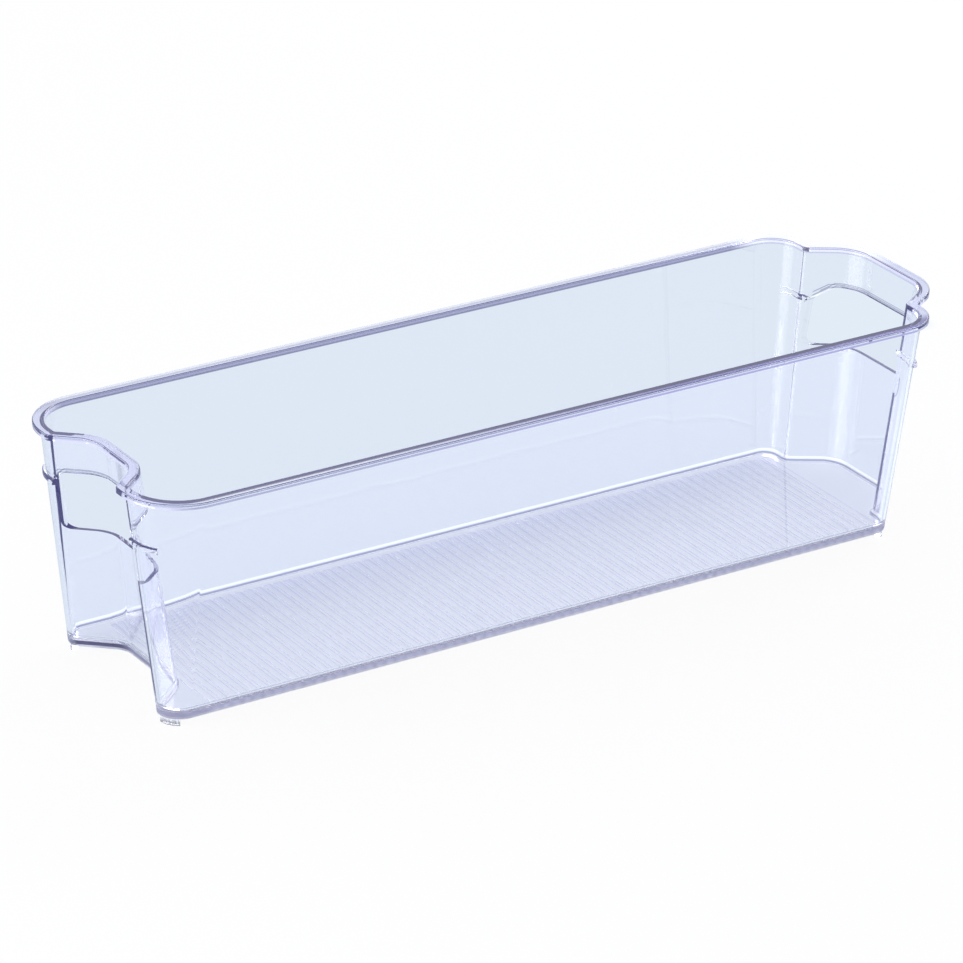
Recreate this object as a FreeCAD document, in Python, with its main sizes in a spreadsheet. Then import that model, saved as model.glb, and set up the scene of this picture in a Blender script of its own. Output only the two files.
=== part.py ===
# Clear fridge bin: a narrow open tray moulded in one piece, with drafted walls, four rounded corner
# columns, end walls that both bow towards +X, a hand slot through each end, a flanged rim and cross
# ribs under the floor. It stands on four small curved feet, one under each corner.
# Millimetres. X runs along the bin, Y across it, Z up; the origin is the middle of the footprint.
import FreeCAD, Part
import math
import os
import Sketcher

SIZES = [
    ("overall_length", 368.0, "rim, outside, from the left columns to the tip of the right bow"),
    ("overall_width", 110.0, "rim, outside"),
    ("overall_height", 94.8, "table to rim"),
    ("foot_height", 2.9, "table to the underside of the shell"),
    ("wall", 1.8, "thickness of every wall"),
    ("floor", 2.1, "floor plate without its ribs"),
    ("draft", 6.0, "lean of the outer walls, degrees"),
    ("rim_overhang", 2.6, "how far the rim flange stands out from the wall"),
    ("rim_height", 2.2, "depth of the rim flange"),
    ("left_column_radius", 23.5, "rim corner radius, left end"),
    ("right_column_radius", 16.5, "rim corner radius, right end"),
    ("left_column_radius_base", 9.0, "outer corner radius at the underside, left end"),
    ("right_column_radius_base", 8.0, "outer corner radius at the underside, right end"),
    ("recess_depth", 13.3, "left bow behind the columns, at the rim"),
    ("recess_depth_base", 15.5, "left bow behind the columns, at the floor"),
    ("left_column_width", 28.8, "side of the bin to the left bow, at the rim"),
    ("left_column_width_base", 10.74, "side of the bin to the left bow, at the floor"),
    ("recess_angle", 48.5, "turn from a left column's end face to the side of the bow, degrees"),
    ("recess_radius", 11.6, "corner of the left bow, rim flange"),
    ("recess_radius_base", 8.0, "outer corner of the left bow at the underside"),
    ("bulge_depth", 17.6, "right bow beyond the columns, at the rim"),
    ("bulge_depth_base", 17.5, "right bow beyond the columns, at the floor"),
    ("right_column_width", 18.8, "side of the bin to the right bow, at the rim"),
    ("right_column_width_base", 12.24, "side of the bin to the right bow, at the floor"),
    ("bulge_angle", 57.9, "turn from a right column's end face to the side of the bow, degrees"),
    ("bulge_radius", 20.0, "corner of the right bow, rim flange"),
    ("bulge_radius_base", 13.6, "outer corner of the right bow at the underside"),
    ("bend_radius", 1.6, "hollow side of the bend between a column and a bow"),
    ("slot_drop", 16.6, "rim to the upper edge of the hand slots"),
    ("slot_height", 24.0, "lower to upper edge of the hand slots"),
    ("left_slot_half_width", 29.4, "half width of the left hand slot"),
    ("right_slot_half_width", 31.2, "half width of the right hand slot"),
    ("left_slot_shoulder", 2.6, "cut-off upper corners of the left hand slot"),
    ("right_slot_shoulder", 4.8, "cut-off upper corners of the right hand slot"),
    ("slot_radius", 3.2, "lower corners of the hand slots"),
    ("shoulder_radius", 2.8, "rounding of the cut-off corners"),
    ("band_drop", 22.4, "rim to the underside of the short band on each column"),
    ("band_height", 2.4, "height of that band"),
    ("band_overhang", 1.3, "how far that band stands out"),
    ("band_sweep", 36.0, "how far that band runs round the column from its end face, degrees"),
    ("rib_height", 0.9, "depth of the ribs under the floor"),
    ("rib_width", 1.6, "thickness of a rib"),
    ("rib_pitch", 4.4, "spacing of the ribs"),
    ("rib_side_gap", 2.4, "outer wall to the ends of the grooves between the ribs"),
    ("rib_end_gap", 4.0, "bows to the first and the last groove"),
    ("foot_width", 2.6, "thickness of a curved foot"),
    ("foot_inset", 0.8, "outer wall to the outside of a foot"),
    ("foot_sweep", 62.0, "how far a foot runs round its column from the end face, degrees"),
    ("foot_chamfer", 1.2, "bevel under both ends of a foot"),
    ("floor_round", 1.5, "hollow between the floor and the walls, inside"),
    ("rim_round", 0.6, "rounding of the rim's edges"),
    ("least_radius", 0.8, "smallest upright corner that the mould can hold"),
]

doc = FreeCAD.newDocument("fridge_bin")
sheet = doc.addObject("Spreadsheet::Sheet", "Sizes")
for row, (alias, number, meaning) in enumerate(SIZES, start=1):
    sheet.set(f"A{row}", alias)
    sheet.set(f"B{row}", str(number))
    sheet.set(f"C{row}", meaning)
    sheet.setAlias(f"B{row}", alias)
doc.recompute()


def value(expression):
    """The number that an expression on the sheet gives now."""
    return float(sheet.evalExpression(expression))


def size(alias):
    return f"Sizes.{alias}"


# Expressions that several features share.
HALF_LENGTH = "Sizes.overall_length / 2"
HALF_WIDTH = "Sizes.overall_width / 2"
SHELL_BOTTOM = size("foot_height")
FLOOR_TOP = "(Sizes.foot_height + Sizes.rib_height + Sizes.floor)"
SLOT_TOP = "(Sizes.overall_height - Sizes.slot_drop)"
SLOT_BOTTOM = "(Sizes.overall_height - Sizes.slot_drop - Sizes.slot_height)"
BAND_BOTTOM = "(Sizes.overall_height - Sizes.band_drop)"


def wall_inset(level):
    """Rim edge to the outer wall at a height: the wall leans in below the flange."""
    return f"(Sizes.rim_overhang + (Sizes.overall_height - {level}) * tan(Sizes.draft * 1deg))"


BASE_INSET = wall_inset(SHELL_BOTTOM)


def new_body(label):
    body = doc.addObject("PartDesign::Body", label)
    body.Label = label
    return body


def origin_plane(body, role):
    return next(plane for plane in body.Origin.OriginFeatures if plane.Role == role)


def new_sketch(body, name, plane, offset):
    """A sketch on an origin plane of its body, moved along the plane's normal by an expression."""
    sketch = body.newObject("Sketcher::SketchObject", name)
    sketch.AttachmentSupport = [(origin_plane(body, plane), "")]
    sketch.MapMode = "FlatFace"
    sketch.setExpression("AttachmentOffset.Base.z", offset)
    return sketch


def dimension(sketch, kind, name, expression, *places):
    """Add a driving dimension that follows an expression."""
    number = math.radians(value(expression)) if kind == "Angle" else value(expression)
    index = sketch.addConstraint(Sketcher.Constraint(kind, *places, number))
    sketch.renameConstraint(index, name)
    sketch.setExpression(f"Constraints.{name}", expression)


# Sketcher's numbers for its origin, its X axis and the places on a line or an arc.
ORIGIN = (-1, 1)
X_AXIS = -1
START, END, CENTRE = range(1, 4)
# An edge counts as level when it strays less than this from its height, mm.
LEVEL_TOLERANCE = 1e-4


def distance(sketch, axis, name, expression, place, sign):
    """Hold a point at a positive distance from the origin, on the side that sign gives."""
    places = (*ORIGIN, *place) if sign > 0 else (*place, *ORIGIN)
    dimension(sketch, f"Distance{axis}", name, expression, *places)


def rounded_outline(sketch, corners):
    """Draw a closed outline of lines with a tangent arc in each corner that has a radius.
    A corner is (x, y, radius). Returns the numbers of the lines and the arcs: line i runs into
    corner i, whose arc is None where the corner is sharp."""
    points = [FreeCAD.Vector(x, y, 0) for x, y, radius in corners]
    radii = [radius for x, y, radius in corners]
    arrivals, crowns, departures = [], [], []
    for i, point in enumerate(points):
        back = (points[i - 1] - point).normalize()
        ahead = (points[(i + 1) % len(points)] - point).normalize()
        half_angle = back.getAngle(ahead) / 2
        bisector = (back + ahead).normalize()
        arrivals.append(point + back * (radii[i] / math.tan(half_angle)))
        departures.append(point + ahead * (radii[i] / math.tan(half_angle)))
        crowns.append(point + bisector * (radii[i] / math.sin(half_angle) - radii[i]))
    lines = [
        sketch.addGeometry(Part.LineSegment(departures[i - 1], arrivals[i]))
        for i in range(len(points))
    ]
    arcs = []
    for i, radius in enumerate(radii):
        next_line = lines[(i + 1) % len(lines)]
        if not radius:
            arcs.append(None)
            sketch.addConstraint(Sketcher.Constraint("Coincident", lines[i], END, next_line, START))
            continue
        arc = sketch.addGeometry(Part.Arc(arrivals[i], crowns[i], departures[i]))
        arcs.append(arc)
        starts_here = sketch.getPoint(arc, START).isEqual(arrivals[i], radius / 2)
        first, last = (START, END) if starts_here else (END, START)
        sketch.addConstraint(Sketcher.Constraint("Tangent", lines[i], END, arc, first))
        sketch.addConstraint(Sketcher.Constraint("Tangent", arc, last, next_line, START))
    return lines, arcs


def marked_corner(sketch, x, y, lines):
    """A marked point where two lines would meet if the corner between them were sharp."""
    mark = sketch.addGeometry(Part.Point(FreeCAD.Vector(x, y, 0)), True)
    for line in lines:
        sketch.addConstraint(Sketcher.Constraint("PointOnObject", mark, START, line))
    return (mark, START)


def set_directions(sketch, **lines):
    """Hold lines level or upright."""
    for direction, numbers in lines.items():
        for number in numbers:
            sketch.addConstraint(Sketcher.Constraint(direction, number))


def plan_outline(body, name, level, inset, shape):
    """The bin's outline in plan at a height, a distance inside the edge of the rim flange.
    The left end is hollowed between its columns, the right end stands out beyond its columns."""
    sketch = new_sketch(body, name, "XY_Plane", level)
    distances = {
        "side": f"{HALF_WIDTH} - {inset}",
        "left_end": f"{HALF_LENGTH} - {inset}",
        "left_back": f"{HALF_LENGTH} - {shape['recess_depth']} - {inset}",
        "right_end": f"{HALF_LENGTH} - {shape['bulge_depth']} - {inset}",
        "right_tip": f"{HALF_LENGTH} - {inset}",
        "recess_mouth": shape["recess_mouth"],
        "bulge_mouth": shape["bulge_mouth"],
    }
    radii = {
        key: shape[key]
        for key in (
            "tip_corner", "right_bend", "right_column", "left_column", "left_bend", "back_corner"
        )
    }
    at = {key: value(expression) for key, expression in distances.items()}
    round_at = {key: value(expression) for key, expression in radii.items()}
    recess_slope = math.tan(math.radians(value(size("recess_angle"))))
    bulge_slope = math.tan(math.radians(value(size("bulge_angle"))))
    back_half_width = at["recess_mouth"] - value(shape["recess_depth"]) / recess_slope
    tip_half_width = at["bulge_mouth"] - value(shape["bulge_depth"]) / bulge_slope
    far_side = [
        (at["right_tip"], tip_half_width, "tip_corner"),
        (at["right_end"], at["bulge_mouth"], "right_bend"),
        (at["right_end"], at["side"], "right_column"),
        (-at["left_end"], at["side"], "left_column"),
        (-at["left_end"], at["recess_mouth"], "left_bend"),
        (-at["left_back"], back_half_width, "back_corner"),
    ]
    near_side = [(x, -y, key) for x, y, key in reversed(far_side)]
    corners = far_side + near_side
    lines, arcs = rounded_outline(sketch, [(x, y, round_at[key]) for x, y, key in corners])

    for arc, (x, y, key) in zip(arcs, corners):
        side = "far" if y > 0 else "near"
        dimension(sketch, "Radius", f"{key}_{side}", radii[key], arc)

    # Lines in order: tip, far slant, far right end, far side, far left end, far slant, back,
    # then the same along the near side.
    tip, slant_1, end_1, side_1, end_2, slant_2, back, slant_3, end_3, side_2, end_4, slant_4 = lines
    uprights = (tip, end_1, end_2, back, end_3, end_4)
    set_directions(sketch, Vertical=uprights, Horizontal=(side_1, side_2))
    distance(sketch, "X", "tip", distances["right_tip"], (tip, START), +1)
    distance(sketch, "X", "right_end_far", distances["right_end"], (end_1, START), +1)
    distance(sketch, "X", "right_end_near", distances["right_end"], (end_4, START), +1)
    distance(sketch, "X", "left_end_far", distances["left_end"], (end_2, START), -1)
    distance(sketch, "X", "left_end_near", distances["left_end"], (end_3, START), -1)
    distance(sketch, "X", "left_back", distances["left_back"], (back, START), -1)
    distance(sketch, "Y", "side_far", distances["side"], (side_1, START), +1)
    distance(sketch, "Y", "side_near", distances["side"], (side_2, START), -1)

    # Each slanted line leaves its column's end face at a marked point, at a given angle.
    slants = [
        ("bulge", slant_1, end_1, +1, at["right_end"]),
        ("recess", slant_2, end_2, +1, -at["left_end"]),
        ("recess", slant_3, end_3, -1, -at["left_end"]),
        ("bulge", slant_4, end_4, -1, at["right_end"]),
    ]
    for bow, slant, end_face, sign, x in slants:
        label = f"{bow}_far" if sign > 0 else f"{bow}_near"
        turn = (end_face, slant) if sign > 0 else (slant, end_face)
        mark = marked_corner(sketch, x, sign * at[f"{bow}_mouth"], turn)
        distance(sketch, "Y", f"{label}_mouth", distances[f"{bow}_mouth"], mark, sign)
        dimension(sketch, "Angle", f"{label}_angle", f"Sizes.{bow}_angle * 1deg", *turn)
    return sketch


def bin_shell():
    """The moulding: a drafted tub with its rim, column bands, hand slots and ribs."""
    body = new_body("bin_shell")
    recess_shift = "tan(Sizes.recess_angle / 2 * 1deg)"
    bulge_shift = "tan(Sizes.bulge_angle / 2 * 1deg)"

    def bows(inset, at=""):
        """Sizes of both bows and of the four columns, at the rim or (at="_base") at the floor."""
        side = f"({HALF_WIDTH} - {BASE_INSET})" if at else HALF_WIDTH
        return {
            "recess_depth": f"Sizes.recess_depth{at}",
            "recess_mouth": f"({side} - Sizes.left_column_width{at} + {inset} * {recess_shift})",
            "bulge_depth": f"Sizes.bulge_depth{at}",
            "bulge_mouth": f"({side} - Sizes.right_column_width{at} - {inset} * {bulge_shift})",
            "tip_corner": f"max(Sizes.bulge_radius{at} - {inset}; Sizes.least_radius)",
            "right_column": f"max(Sizes.right_column_radius{at} - {inset}; Sizes.least_radius)",
            "left_column": f"max(Sizes.left_column_radius{at} - {inset}; Sizes.least_radius)",
            "back_corner": f"(Sizes.recess_radius{at} + {inset})",
        }

    outer_bends = {"left_bend": "Sizes.bend_radius + Sizes.wall", "right_bend": size("bend_radius")}
    inner_bends = {"left_bend": size("bend_radius"), "right_bend": "Sizes.bend_radius + Sizes.wall"}

    rim = size("overall_height")
    outer_base = plan_outline(
        body, "outer_base", SHELL_BOTTOM, BASE_INSET, {**bows("0", at="_base"), **outer_bends}
    )
    outer_rim = plan_outline(
        body, "outer_rim", rim, size("rim_overhang"),
        {**bows(size("rim_overhang")), **outer_bends},
    )
    tub = body.newObject("PartDesign::AdditiveLoft", "drafted_tub")
    tub.Profile = outer_base
    tub.Sections = [outer_rim]
    tub.Ruled = True

    flange = body.newObject("PartDesign::Pad", "rim_flange")
    flange.Profile = plan_outline(
        body, "flange_outline", rim, "0", {**bows("0"), **outer_bends}
    )
    flange.Reversed = True
    flange.setExpression("Length", size("rim_height"))

    cavity = body.newObject("PartDesign::SubtractiveLoft", "cavity")
    inner_inset = f"({wall_inset(FLOOR_TOP)} + Sizes.wall)"
    cavity.Profile = plan_outline(
        body, "inner_base", FLOOR_TOP, inner_inset,
        {**bows(size("wall"), at="_base"), **inner_bends},
    )
    rim_inset = "(Sizes.rim_overhang + Sizes.wall)"
    cavity.Sections = [plan_outline(
        body, "inner_rim", rim, rim_inset, {**bows(rim_inset), **inner_bends}
    )]
    cavity.Ruled = True

    left_band = column_band(body, "left_band", -1, "left_column_radius", ("0", "0"))
    right_band = column_band(
        body, "right_band", +1, "right_column_radius", (size("bulge_depth"), size("bulge_depth_base"))
    )
    near_bands = body.newObject("PartDesign::Mirrored", "near_bands")
    near_bands.Originals = [left_band, right_band]
    near_bands.MirrorPlane = (origin_plane(body, "XZ_Plane"), [""])
    body.Tip = near_bands

    for end in ("left", "right"):
        slot = body.newObject("PartDesign::Pocket", f"{end}_hand_slot")
        slot.Profile = slot_outline(body, end)
        slot.Type = "ThroughAll"
        slot.Reversed = end == "right"

    groove = rib_groove(body)
    doc.recompute()
    ribs = body.newObject("PartDesign::LinearPattern", "ribs")
    ribs.Originals = [groove]
    ribs.Direction = (origin_plane(body, "X_Axis"), [""])
    ribs.setExpression("Occurrences", GROOVE_COUNT)
    ribs.setExpression("Length", f"({GROOVE_COUNT} - 1) * Sizes.rib_pitch")
    body.Tip = ribs
    doc.recompute()

    hollow = body.newObject("PartDesign::Fillet", "floor_hollow")
    hollow.Base = (ribs, level_edges(ribs.Shape, value(FLOOR_TOP)))
    hollow.setExpression("Radius", size("floor_round"))
    body.Tip = hollow
    doc.recompute()

    lip = body.newObject("PartDesign::Fillet", "rounded_rim")
    lip.Base = (hollow, level_edges(hollow.Shape, value(rim)))
    lip.setExpression("Radius", size("rim_round"))
    body.Tip = lip
    return body


def level_edges(shape, level, straight=False):
    """The names of the edges that lie at a height, or of the straight ones alone."""
    names = []
    for number, edge in enumerate(shape.Edges, start=1):
        box = edge.BoundBox
        lies_there = max(abs(box.ZMin - level), abs(box.ZMax - level)) < LEVEL_TOLERANCE
        if lies_there and (not straight or isinstance(edge.Curve, Part.Line)):
            names.append(f"Edge{number}")
    return names


def part_way(at_rim, at_base, level):
    """A straight step from a size at the underside to the same size at the rim, at a height."""
    rise = f"({level} - {SHELL_BOTTOM}) / (Sizes.overall_height - {SHELL_BOTTOM})"
    return f"({at_base} + ({at_rim} - {at_base}) * {rise})"


def column_band(body, name, end, radius, end_depths):
    """A short band on the far column of one end (-1 left, +1 right), from the slot round the column.
    end_depths are the distances from the end of the bin to the column's end face, rim then base."""
    level = f"({BAND_BOTTOM} + Sizes.band_height / 2)"
    column = part_way(f"(Sizes.{radius} - Sizes.rim_overhang)", f"Sizes.{radius}_base", level)
    end_face = part_way(
        f"({HALF_LENGTH} - {end_depths[0]} - Sizes.rim_overhang)",
        f"({HALF_LENGTH} - {end_depths[1]} - {BASE_INSET})",
        level,
    )
    centre_x = f"{end_face} - {column}"
    centre_y = f"{HALF_WIDTH} - {wall_inset(level)} - {column}"
    side = "left" if end < 0 else "right"
    stop = f"Sizes.{side}_slot_half_width - Sizes.wall"
    radii = {
        "outer": f"{column} + Sizes.band_overhang",
        "inner": f"max({column} - Sizes.wall / 2; Sizes.least_radius)",
    }
    sweep = math.radians(value(size("band_sweep")))
    slant = sweep if end > 0 else math.pi - sweep
    x, y, foot = end * value(centre_x), value(centre_y), value(stop)
    sketch = new_sketch(body, f"{name}_outline", "XY_Plane", BAND_BOTTOM)
    arcs, faces = {}, {}
    for key, expression in radii.items():
        reach = value(expression)
        circle = Part.Circle(FreeCAD.Vector(x, y, 0), FreeCAD.Vector(0, 0, 1), reach)
        turn = (0, sweep) if end > 0 else (slant, math.pi)
        arc = sketch.addGeometry(Part.ArcOfCircle(circle, *turn))
        low, high = (START, END) if end > 0 else (END, START)
        face = sketch.addGeometry(Part.LineSegment(
            FreeCAD.Vector(x + end * reach, foot, 0), FreeCAD.Vector(x + end * reach, y, 0)
        ))
        sketch.addConstraint(Sketcher.Constraint("Tangent", face, END, arc, low))
        dimension(sketch, "Radius", f"{key}_radius", expression, arc)
        arcs[key], faces[key] = arc, face
    outer, inner = arcs["outer"], arcs["inner"]
    sketch.addConstraint(Sketcher.Constraint("Coincident", outer, CENTRE, inner, CENTRE))
    sketch.addConstraint(Sketcher.Constraint("Vertical", faces["outer"]))
    sketch.addConstraint(Sketcher.Constraint("Vertical", faces["inner"]))
    closing = sketch.addGeometry(Part.LineSegment(
        sketch.getPoint(inner, high), sketch.getPoint(outer, high)
    ))
    sketch.addConstraint(Sketcher.Constraint("Coincident", closing, START, inner, high))
    sketch.addConstraint(Sketcher.Constraint("Coincident", closing, END, outer, high))
    bottom = sketch.addGeometry(Part.LineSegment(
        sketch.getPoint(faces["inner"], START), sketch.getPoint(faces["outer"], START)
    ))
    sketch.addConstraint(Sketcher.Constraint("Coincident", bottom, START, faces["inner"], START))
    sketch.addConstraint(Sketcher.Constraint("Coincident", bottom, END, faces["outer"], START))
    sketch.addConstraint(Sketcher.Constraint("Horizontal", bottom))
    distance(sketch, "X", "centre_x", centre_x, (outer, CENTRE), end)
    distance(sketch, "Y", "centre_y", centre_y, (outer, CENTRE), +1)
    distance(sketch, "Y", "stop", stop, (bottom, START), +1)
    turned = "Sizes.band_sweep * 1deg" if end > 0 else "180deg - Sizes.band_sweep * 1deg"
    dimension(sketch, "Angle", "sweep", turned, closing)
    band = body.newObject("PartDesign::Pad", name)
    band.Profile = sketch
    band.setExpression("Length", size("band_height"))
    return band


def slot_outline(body, end):
    """A hand slot seen along X: rounded below, its upper corners cut off."""
    sketch = new_sketch(body, f"{end}_slot_outline", "YZ_Plane", "0")
    half_width, cut_off = size(f"{end}_slot_half_width"), size(f"{end}_slot_shoulder")
    bottom, top = SLOT_BOTTOM, SLOT_TOP
    shoulder = f"{top} - {cut_off}"
    side, low, high = value(half_width), value(bottom), value(top)
    shoulder_level = value(shoulder)
    flat = side - value(cut_off)
    low_round, high_round = value(size("slot_radius")), value(size("shoulder_radius"))
    lines, arcs = rounded_outline(sketch, [
        (side, low, low_round),
        (side, shoulder_level, high_round),
        (flat, high, high_round),
        (-flat, high, high_round),
        (-side, shoulder_level, high_round),
        (-side, low, low_round),
    ])
    sill, far_side, far_shoulder, head, near_shoulder, near_side = lines
    set_directions(sketch, Horizontal=(sill, head), Vertical=(far_side, near_side))
    for i, arc in enumerate(arcs):
        radius = "slot_radius" if arc in (arcs[0], arcs[-1]) else "shoulder_radius"
        dimension(sketch, "Radius", f"round_{i}", size(radius), arc)
    distance(sketch, "X", "far_side", half_width, (far_side, START), +1)
    distance(sketch, "X", "near_side", half_width, (near_side, START), -1)
    distance(sketch, "Y", "sill", bottom, (sill, START), +1)
    distance(sketch, "Y", "head", top, (head, START), +1)
    for label, slant, upright, sign in (
        ("far", far_shoulder, far_side, +1), ("near", near_shoulder, near_side, -1)
    ):
        mark = marked_corner(sketch, sign * side, shoulder_level, (slant, upright))
        distance(sketch, "Y", f"{label}_shoulder", shoulder, mark, +1)
        mark = marked_corner(sketch, sign * flat, high, (slant, head))
        distance(sketch, "X", f"{label}_flat", f"{half_width} - {cut_off}", mark, sign)
    return sketch


GROOVE_START = f"({HALF_LENGTH} - Sizes.recess_depth_base - {BASE_INSET} - Sizes.rib_end_gap)"
GROOVE_END = f"({HALF_LENGTH} - Sizes.bulge_depth_base - {BASE_INSET} - Sizes.rib_end_gap)"
GROOVE_COUNT = f"floor(({GROOVE_START} + {GROOVE_END} + Sizes.rib_width) / Sizes.rib_pitch)"


def rib_groove(body):
    """The first groove cut up into the floor from below, at the left; ribs stay between grooves."""
    sketch = new_sketch(body, "groove_outline", "XY_Plane", SHELL_BOTTOM)
    groove_width = "(Sizes.rib_pitch - Sizes.rib_width)"
    first, last = GROOVE_START, f"{GROOVE_START} - {groove_width}"
    reach = f"{HALF_WIDTH} - {BASE_INSET} - Sizes.rib_side_gap"
    left, right, half_width = -value(first), -value(last), value(reach)
    lines, arcs = rounded_outline(sketch, [
        (right, half_width, 0), (left, half_width, 0), (left, -half_width, 0), (right, -half_width, 0)
    ])
    right_side, far_end, left_side, near_end = lines
    set_directions(sketch, Vertical=(right_side, left_side), Horizontal=(far_end, near_end))
    distance(sketch, "X", "left", first, (left_side, START), -1)
    distance(sketch, "X", "right", last, (right_side, START), -1)
    distance(sketch, "Y", "far", reach, (far_end, START), +1)
    distance(sketch, "Y", "near", reach, (near_end, START), -1)
    groove = body.newObject("PartDesign::Pocket", "rib_groove")
    groove.Profile = sketch
    groove.Reversed = True
    groove.setExpression("Length", size("rib_height"))
    return groove


def corner_foot(label, radius, end_depth, end, side):
    """A curved foot under one corner column (end -1 left, +1 right; side -1 near, +1 far).
    It starts at the column's end face, follows the column and has a bevel under both ends."""
    body = new_body(label)
    column = f"Sizes.{radius}_base"
    outer_radius = f"({column} - Sizes.foot_inset)"
    inner_radius = f"max({outer_radius} - Sizes.foot_width; Sizes.least_radius)"
    sketch = new_sketch(body, f"{label}_outline", "XY_Plane", "0")
    face_direction = 0 if end > 0 else math.pi
    sweep = end * side * math.radians(value(size("foot_sweep")))
    first, last = sorted((face_direction, face_direction + sweep))
    arcs = []
    for name, expression in (("outer", outer_radius), ("inner", inner_radius)):
        circle = Part.Circle(FreeCAD.Vector(0, 0, 0), FreeCAD.Vector(0, 0, 1), value(expression))
        arc = sketch.addGeometry(Part.ArcOfCircle(circle, first, last))
        sketch.addConstraint(Sketcher.Constraint("Coincident", arc, CENTRE, *ORIGIN))
        dimension(sketch, "Radius", f"{name}_radius", expression, arc)
        arcs.append(arc)
    outer, inner = arcs
    level_place, swept_place = (START, END) if sweep > 0 else (END, START)
    ends = []
    for place in (level_place, swept_place):
        line = sketch.addGeometry(Part.LineSegment(
            sketch.getPoint(inner, place), sketch.getPoint(outer, place)
        ))
        sketch.addConstraint(Sketcher.Constraint("Coincident", line, START, inner, place))
        sketch.addConstraint(Sketcher.Constraint("Coincident", line, END, outer, place))
        ends.append(line)
    level_end, swept_end = ends
    sketch.addConstraint(Sketcher.Constraint("Horizontal", level_end))
    sketch.addConstraint(Sketcher.Constraint("PointOnObject", outer, level_place, X_AXIS))
    turned = f"{side} * Sizes.foot_sweep * 1deg"
    if end < 0:
        turned = f"{side} * (180deg - Sizes.foot_sweep * 1deg)"
    dimension(sketch, "Angle", "sweep", turned, swept_end)
    pad = body.newObject("PartDesign::Pad", f"{label}_pad")
    pad.Profile = sketch
    pad.setExpression("Length", size("foot_height"))
    doc.recompute()
    bevel = body.newObject("PartDesign::Chamfer", f"{label}_bevel")
    bevel.Base = (pad, level_edges(pad.Shape, 0, straight=True))
    bevel.setExpression("Size", size("foot_chamfer"))
    body.Tip = bevel
    centre_x = f"{end} * ({HALF_LENGTH} - {end_depth} - {BASE_INSET} - {column})"
    centre_y = f"{side} * ({HALF_WIDTH} - {BASE_INSET} - {column})"
    body.setExpression("Placement.Base.x", centre_x)
    body.setExpression("Placement.Base.y", centre_y)


def corner_feet():
    """One foot under each column."""
    for side, side_name in ((+1, "back"), (-1, "front")):
        corner_foot(f"foot_left_{side_name}", "left_column_radius", "0", -1, side)
        corner_foot(
            f"foot_right_{side_name}", "right_column_radius", size("bulge_depth_base"), +1, side
        )


def check_document():
    """Stop if any object failed to recompute or any sub-part is not a sound solid."""
    for item in doc.Objects:
        if "Invalid" in item.State or "Error" in item.State:
            raise RuntimeError(f"{item.Label} did not recompute: {item.State}")
    for body in sub_parts():
        if body.Shape.isNull() or not body.Shape.isValid() or not body.Shape.Solids:
            raise RuntimeError(f"{body.Label} is not a sound solid")


def sub_parts():
    return [item for item in doc.Objects if item.TypeId == "PartDesign::Body"]


bin_shell()
corner_feet()
doc.recompute()
check_document()
os.makedirs("parts", exist_ok=True)
for body in sub_parts():
    body.Shape.exportStep(f"parts/{body.Label}.step")
    print(f"{body.Label}: {body.Shape.Volume:.0f} mm3")
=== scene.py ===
from math import pi, radians, tan
from types import SimpleNamespace
import bmesh
import bpy
from mathutils import Matrix, Vector


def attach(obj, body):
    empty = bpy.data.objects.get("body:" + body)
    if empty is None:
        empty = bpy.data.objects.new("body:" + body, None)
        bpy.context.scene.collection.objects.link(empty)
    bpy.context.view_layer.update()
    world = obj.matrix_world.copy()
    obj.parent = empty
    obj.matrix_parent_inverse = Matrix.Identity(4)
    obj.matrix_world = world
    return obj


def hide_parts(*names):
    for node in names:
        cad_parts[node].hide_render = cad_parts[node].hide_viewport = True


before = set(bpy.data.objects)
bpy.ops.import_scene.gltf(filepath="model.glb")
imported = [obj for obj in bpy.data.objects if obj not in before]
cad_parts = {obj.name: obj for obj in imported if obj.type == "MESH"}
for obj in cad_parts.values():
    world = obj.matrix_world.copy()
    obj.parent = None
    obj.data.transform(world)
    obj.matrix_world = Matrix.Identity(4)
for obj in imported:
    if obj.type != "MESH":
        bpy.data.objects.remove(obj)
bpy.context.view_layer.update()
scene = bpy.context.scene
scene.view_settings.view_transform = "Standard"

MM = 0.001


# ---------------------------------------------------------------- the bin's sizes, in millimetres

TABLE_TO_SHELL = 2.9
FLOOR_TOP = 5.9
RIM_TOP = 94.8
RIM_UNDERSIDE = 92.6

# Plan of the bin at five places. "side" is the half width, "left_end" and "right_end" the faces
# of the corner columns, "left_back" the back of the hollow left end, "right_tip" the front of the
# bowed right end. The mouths are half widths between columns. The rest are corner radii.
OUTER_BASE = dict(
    side=42.74, left_end=171.74, left_back=156.24, right_end=154.24, right_tip=171.74,
    left_mouth=32.0, right_mouth=30.5, left_column=9.0, left_bend=3.4, left_hollow=8.0,
    right_column=8.0, right_bend=1.6, right_bow=13.6,
)
OUTER_RIM = dict(
    side=52.4, left_end=181.4, left_back=168.1, right_end=163.8, right_tip=181.4,
    left_mouth=27.37, right_mouth=34.76, left_column=20.9, left_bend=3.4, left_hollow=14.2,
    right_column=13.9, right_bend=1.6, right_bow=17.4,
)
FLANGE_EDGE = dict(
    side=55.0, left_end=184.0, left_back=170.7, right_end=166.4, right_tip=184.0,
    left_mouth=26.2, right_mouth=36.2, left_column=23.5, left_bend=3.4, left_hollow=11.6,
    right_column=16.5, right_bend=1.6, right_bow=20.0,
)
INNER_RIM = dict(
    side=50.6, left_end=179.6, left_back=166.3, right_end=162.0, right_tip=179.6,
    left_mouth=28.18, right_mouth=33.77, left_column=19.1, left_bend=1.6, left_hollow=16.0,
    right_column=12.1, right_bend=3.4, right_bow=15.6,
)
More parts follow.
